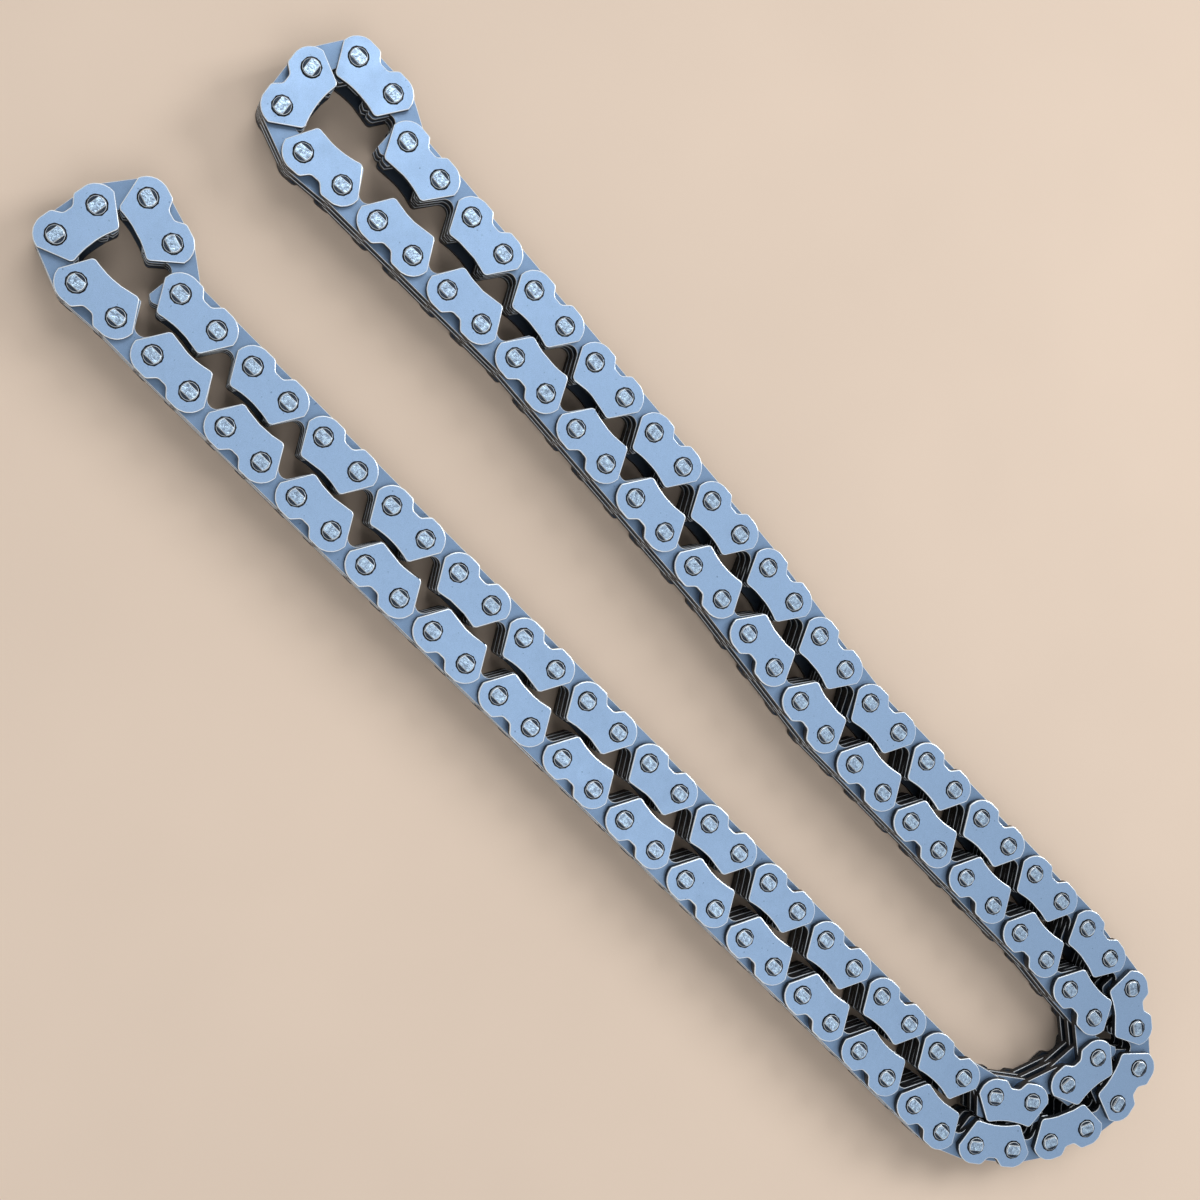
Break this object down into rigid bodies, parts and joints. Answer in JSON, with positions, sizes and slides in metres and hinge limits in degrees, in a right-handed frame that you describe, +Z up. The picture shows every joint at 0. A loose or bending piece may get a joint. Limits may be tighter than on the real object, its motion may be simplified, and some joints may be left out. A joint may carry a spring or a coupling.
{
  "type": "silent timing chain",
  "caption": "Endless inverted-tooth (silent) timing chain of toothed steel plates on staked round pins, lying on its side in a long, narrow U with both strands close together.",
  "frame": {"origin": "middle of the loop's outline in plan, on the flat surface that the lower pin ends lie on", "axes": "+Z up along the pins, +Y along the two legs from the closed bend of the U to its free tips, +X from the straight left leg to the bowed right leg"},
  "size_m": [0.0522, 0.203, 0.0083],
  "materials": {
    "guide_plate_steel": "satin, tumbled",
    "link_plate_steel": "satin, tumbled",
    "pin_steel": "satin, tumbled"
  },
  "bodies": {
    "outer_bend": {"outer_bend_guide_plates": "guide_plate_steel", "outer_bend_link_plates": "link_plate_steel", "outer_bend_pins": "pin_steel"},
    "right_outer_lower": {"right_outer_lower_guide_plates": "guide_plate_steel", "right_outer_lower_link_plates": "link_plate_steel", "right_outer_lower_pins": "pin_steel"},
    "right_outer_middle": {"right_outer_middle_guide_plates": "guide_plate_steel", "right_outer_middle_link_plates": "link_plate_steel", "right_outer_middle_pins": "pin_steel"},
    "right_outer_upper": {"right_outer_upper_guide_plates": "guide_plate_steel", "right_outer_upper_link_plates": "link_plate_steel", "right_outer_upper_pins": "pin_steel"},
    "right_tip": {"right_tip_guide_plates": "guide_plate_steel", "right_tip_link_plates": "link_plate_steel", "right_tip_pins": "pin_steel"},
    "right_inner_upper": {"right_inner_upper_guide_plates": "guide_plate_steel", "right_inner_upper_link_plates": "link_plate_steel", "right_inner_upper_pins": "pin_steel"},
    "right_inner_middle": {"right_inner_middle_guide_plates": "guide_plate_steel", "right_inner_middle_link_plates": "link_plate_steel", "right_inner_middle_pins": "pin_steel"},
    "right_inner_lower": {"right_inner_lower_guide_plates": "guide_plate_steel", "right_inner_lower_link_plates": "link_plate_steel", "right_inner_lower_pins": "pin_steel"},
    "inner_bend": {"inner_bend_guide_plates": "guide_plate_steel", "inner_bend_link_plates": "link_plate_steel", "inner_bend_pins": "pin_steel"},
    "left_inner_lower": {"left_inner_lower_guide_plates": "guide_plate_steel", "left_inner_lower_link_plates": "link_plate_steel", "left_inner_lower_pins": "pin_steel"},
    "left_inner_middle": {"left_inner_middle_guide_plates": "guide_plate_steel", "left_inner_middle_link_plates": "link_plate_steel", "left_inner_middle_pins": "pin_steel"},
    "left_inner_upper": {"left_inner_upper_guide_plates": "guide_plate_steel", "left_inner_upper_link_plates": "link_plate_steel", "left_inner_upper_pins": "pin_steel"},
    "left_tip": {"left_tip_guide_plates": "guide_plate_steel", "left_tip_link_plates": "link_plate_steel", "left_tip_pins": "pin_steel"},
    "left_outer_upper": {"left_outer_upper_guide_plates": "guide_plate_steel", "left_outer_upper_link_plates": "link_plate_steel", "left_outer_upper_pins": "pin_steel"},
    "left_outer_middle": {"left_outer_middle_guide_plates": "guide_plate_steel", "left_outer_middle_link_plates": "link_plate_steel", "left_outer_middle_pins": "pin_steel"},
    "left_outer_lower": {"left_outer_lower_guide_plates": "guide_plate_steel", "left_outer_lower_link_plates": "link_plate_steel", "left_outer_lower_pins": "pin_steel"}
  },
  "joints": [
    {"name": "right_lower_swing", "type": "hinge", "parent": "outer_bend", "child": "right_outer_lower", "pos_m": [0.01422, -0.05593, 0.00413], "axis": [0, 0, 1], "range_deg": [-12, 8]},
    {"name": "right_lower_return", "type": "hinge", "parent": "right_outer_lower", "child": "right_outer_middle", "pos_m": [0.01396, -0.03053, 0.00413], "axis": [0, 0, 1], "range_deg": [-8, 12]},
    {"name": "right_upper_swing", "type": "hinge", "parent": "right_outer_middle", "child": "right_outer_upper", "pos_m": [0.01754, 0.02011, 0.00413], "axis": [0, 0, 1], "range_deg": [-12, 8]},
    {"name": "right_upper_return", "type": "hinge", "parent": "right_outer_upper", "child": "right_tip", "pos_m": [0.01887, 0.04547, 0.00413], "axis": [0, 0, 1], "range_deg": [-8, 12]},
    {"name": "right_upper_inner_swing", "type": "hinge", "parent": "right_tip", "child": "right_inner_upper", "pos_m": [0.01091, 0.04729, 0.00413], "axis": [0, 0, 1], "range_deg": [-12, 8]},
    {"name": "right_upper_inner_return", "type": "hinge", "parent": "right_inner_upper", "child": "right_inner_middle", "pos_m": [0.00958, 0.02193, 0.00413], "axis": [0, 0, 1], "range_deg": [-8, 12]},
    {"name": "right_lower_inner_swing", "type": "hinge", "parent": "right_inner_middle", "child": "right_inner_lower", "pos_m": [0.00599, -0.02871, 0.00413], "axis": [0, 0, 1], "range_deg": [-12, 8]},
    {"name": "right_lower_inner_return", "type": "hinge", "parent": "right_inner_lower", "child": "inner_bend", "pos_m": [0.00626, -0.05411, 0.00413], "axis": [0, 0, 1], "range_deg": [-8, 12]},
    {"name": "left_lower_swing", "type": "hinge", "parent": "outer_bend", "child": "left_outer_lower", "pos_m": [-0.02311, -0.05949, 0.00413], "axis": [0, 0, 1], "range_deg": [-8, 12]},
    {"name": "left_lower_return", "type": "hinge", "parent": "left_outer_lower", "child": "left_outer_middle", "pos_m": [-0.02311, -0.03409, 0.00413], "axis": [0, 0, 1], "range_deg": [-12, 8]},
    {"name": "left_upper_swing", "type": "hinge", "parent": "left_outer_middle", "child": "left_outer_upper", "pos_m": [-0.02311, 0.02306, 0.00413], "axis": [0, 0, 1], "range_deg": [-8, 12]},
    {"name": "left_upper_return", "type": "hinge", "parent": "left_outer_upper", "child": "left_tip", "pos_m": [-0.02311, 0.04846, 0.00413], "axis": [0, 0, 1], "range_deg": [-12, 8]},
    {"name": "left_upper_inner_swing", "type": "hinge", "parent": "left_tip", "child": "left_inner_upper", "pos_m": [-0.01506, 0.05146, 0.00413], "axis": [0, 0, 1], "range_deg": [-8, 12]},
    {"name": "left_upper_inner_return", "type": "hinge", "parent": "left_inner_upper", "child": "left_inner_middle", "pos_m": [-0.01506, 0.02606, 0.00413], "axis": [0, 0, 1], "range_deg": [-12, 8]},
    {"name": "left_lower_inner_swing", "type": "hinge", "parent": "left_inner_middle", "child": "left_inner_lower", "pos_m": [-0.01506, -0.03109, 0.00413], "axis": [0, 0, 1], "range_deg": [-8, 12]}
  ],
  "couplings": [
    {"joint": "right_lower_return", "follows": "right_lower_swing", "ratio": -1},
    {"joint": "right_lower_inner_swing", "follows": "right_lower_swing", "ratio": 1},
    {"joint": "right_lower_inner_return", "follows": "right_lower_swing", "ratio": -1},
    {"joint": "right_upper_return", "follows": "right_upper_swing", "ratio": -1},
    {"joint": "right_upper_inner_swing", "follows": "right_upper_swing", "ratio": 1},
    {"joint": "right_upper_inner_return", "follows": "right_upper_swing", "ratio": -1},
    {"joint": "left_lower_return", "follows": "left_lower_swing", "ratio": -1},
    {"joint": "left_lower_inner_swing", "follows": "left_lower_swing", "ratio": 1},
    {"joint": "left_upper_return", "follows": "left_upper_swing", "ratio": -1},
    {"joint": "left_upper_inner_swing", "follows": "left_upper_swing", "ratio": 1},
    {"joint": "left_upper_inner_return", "follows": "left_upper_swing", "ratio": -1}
  ]
}
